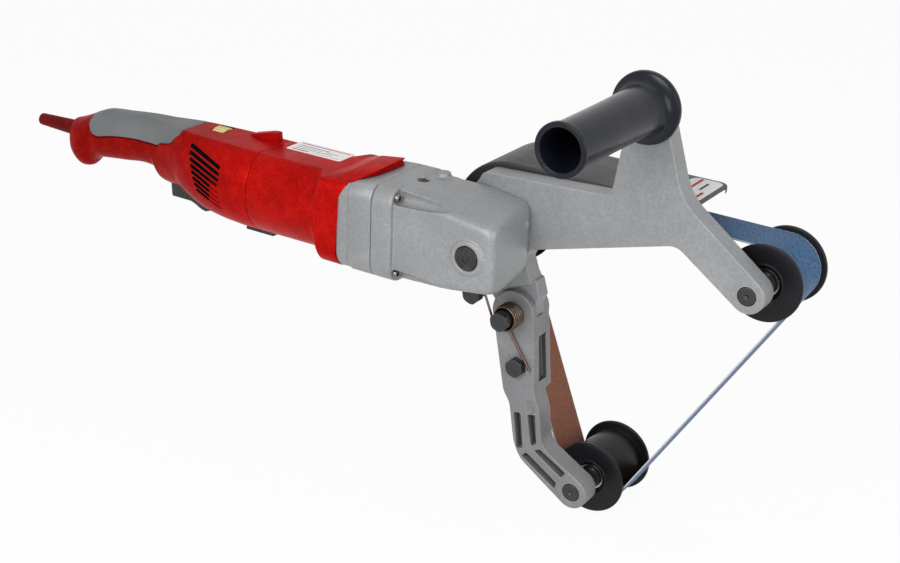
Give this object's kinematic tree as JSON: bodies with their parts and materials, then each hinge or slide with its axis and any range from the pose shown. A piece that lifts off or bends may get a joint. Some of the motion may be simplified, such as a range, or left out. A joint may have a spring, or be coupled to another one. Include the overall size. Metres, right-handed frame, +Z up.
{
  "type": "pipe belt grinding machine",
  "caption": "Hand-held grinding machine for pipes: a long motor body with a trigger grip, a gear case, a side handle and a guarded frame whose sprung arm keeps an abrasive loop tight.",
  "frame": {"origin": "on the level of the lowest point, under the middle of the object's box", "axes": "+X along the motor's axis from the cord end to the rollers, +Y along the spindle away from the gear case, +Z up, with the motor's axis level"},
  "size_m": [0.684, 0.2088, 0.3775],
  "materials": {
    "red_housing": "satin, finely grained moulding",
    "red_sleeve": "dull, ribless strain relief",
    "grip_rubber": "soft, matt",
    "cast_grey": "die cast, fine blasted texture",
    "black_plastic": "satin",
    "black_rubber": "matt",
    "pale_yellow": "satin",
    "black_steel": "black oxide",
    "bright_steel": "turned",
    "spring_steel": "browned wire",
    "dark_sheet": "dull dark coating",
    "abrasive_cloth": "grit on cloth",
    "copper": "wound wire and bars",
    "carbon": "dull",
    "laminated_iron": "stacked sheets"
  },
  "bodies": {
    "machine": {"belt": "abrasive_cloth", "belt_guard": "dark_sheet", "brush_cover": "black_plastic", "carbon_brush_lower": "carbon", "carbon_brush_upper": "carbon", "case_screw_1": "black_steel", "case_screw_2": "black_steel", "case_screw_3": "black_steel", "case_screw_4": "black_steel", "cord_sleeve": "red_sleeve", "frame_plate": "cast_grey", "frame_screw_1": "black_steel", "frame_screw_2": "black_steel", "frame_screw_3": "black_steel", "frame_screw_4": "black_steel", "front_bearing": "bright_steel", "gear_case": "cast_grey", "gear_flange": "cast_grey", "grip_overlay": "grip_rubber", "guard_screw_1": "black_steel", "guard_screw_2": "black_steel", "handle_bolt": "bright_steel", "motor_housing": "red_housing", "oil_screw": "black_steel", "pivot_bolt": "black_steel", "rear_bearing": "bright_steel", "rear_housing": "red_housing", "rear_spider": "black_plastic", "side_handle": "black_rubber", "spindle_bearing": "bright_steel", "stator": "laminated_iron", "stop_bolt_upper": "black_steel", "switch_block": "black_plastic", "tension_spring": "spring_steel", "upper_axle": "black_steel", "upper_axle_nut": "bright_steel"},
    "trigger": {"trigger": "black_plastic"},
    "speed_wheel": {"speed_wheel": "pale_yellow"},
    "lock_button": {"lock_button": "black_plastic"},
    "drive": {"spindle": "bright_steel", "crown_gear": "bright_steel", "drive_roller": "black_rubber", "drive_nut": "bright_steel"},
    "rotor": {"motor_shaft": "bright_steel", "armature_core": "copper", "commutator": "copper", "fan": "black_plastic"},
    "upper_idler": {"upper_roller": "black_plastic", "upper_bearing": "bright_steel"},
    "arm": {"tension_arm": "cast_grey", "lower_axle": "black_steel", "lower_axle_nut": "bright_steel", "stop_bolt_lower": "black_steel"},
    "lower_idler": {"lower_roller": "black_plastic", "lower_bearing": "bright_steel"}
  },
  "joints": [
    {"name": "trigger_pull", "type": "hinge", "parent": "machine", "child": "trigger", "pos_m": [-0.1405, -0.01065, 0.20468], "axis": [0, 1, 0], "range_deg": [0, 7], "stiffness_Nm_per_rad": 1, "springref_deg": -5.73},
    {"name": "speed_wheel_turn", "type": "hinge", "parent": "machine", "child": "speed_wheel", "pos_m": [-0.1435, -0.00215, 0.25408], "axis": [1, 0, 0], "range_deg": [-140, 140]},
    {"name": "lock_button_press", "type": "slide", "parent": "machine", "child": "lock_button", "axis": [0, 1, 0], "range_m": [0, 0.0025], "stiffness_N_per_m": 800, "springref_m": -0.002},
    {"name": "drive_spin", "type": "hinge", "parent": "machine", "child": "drive", "pos_m": [0.1065, -0.01065, 0.23218], "axis": [0, 1, 0], "continuous": true},
    {"name": "rotor_spin", "type": "hinge", "parent": "machine", "child": "rotor", "pos_m": [0.1065, -0.01065, 0.23218], "axis": [1, 0, 0], "continuous": true},
    {"name": "upper_idler_spin", "type": "hinge", "parent": "machine", "child": "upper_idler", "pos_m": [0.3123, 0.07435, 0.23048], "axis": [0, 1, 0], "continuous": true},
    {"name": "tension_swing", "type": "hinge", "parent": "machine", "child": "arm", "pos_m": [0.126, 0.03335, 0.16668], "axis": [0, -1, 0], "range_deg": [0, 18], "stiffness_Nm_per_rad": 2.5, "springref_deg": -34.38, "deforming": ["belt", "tension_spring"]},
    {"name": "lower_idler_spin", "type": "hinge", "parent": "arm", "child": "lower_idler", "pos_m": [0.1868, 0.07435, 0.02948], "axis": [0, 1, 0], "continuous": true}
  ],
  "couplings": [
    {"joint": "rotor_spin", "follows": "drive_spin", "ratio": 3.1},
    {"joint": "upper_idler_spin", "follows": "drive_spin", "ratio": 1},
    {"joint": "lower_idler_spin", "follows": "drive_spin", "ratio": 1}
  ]
}
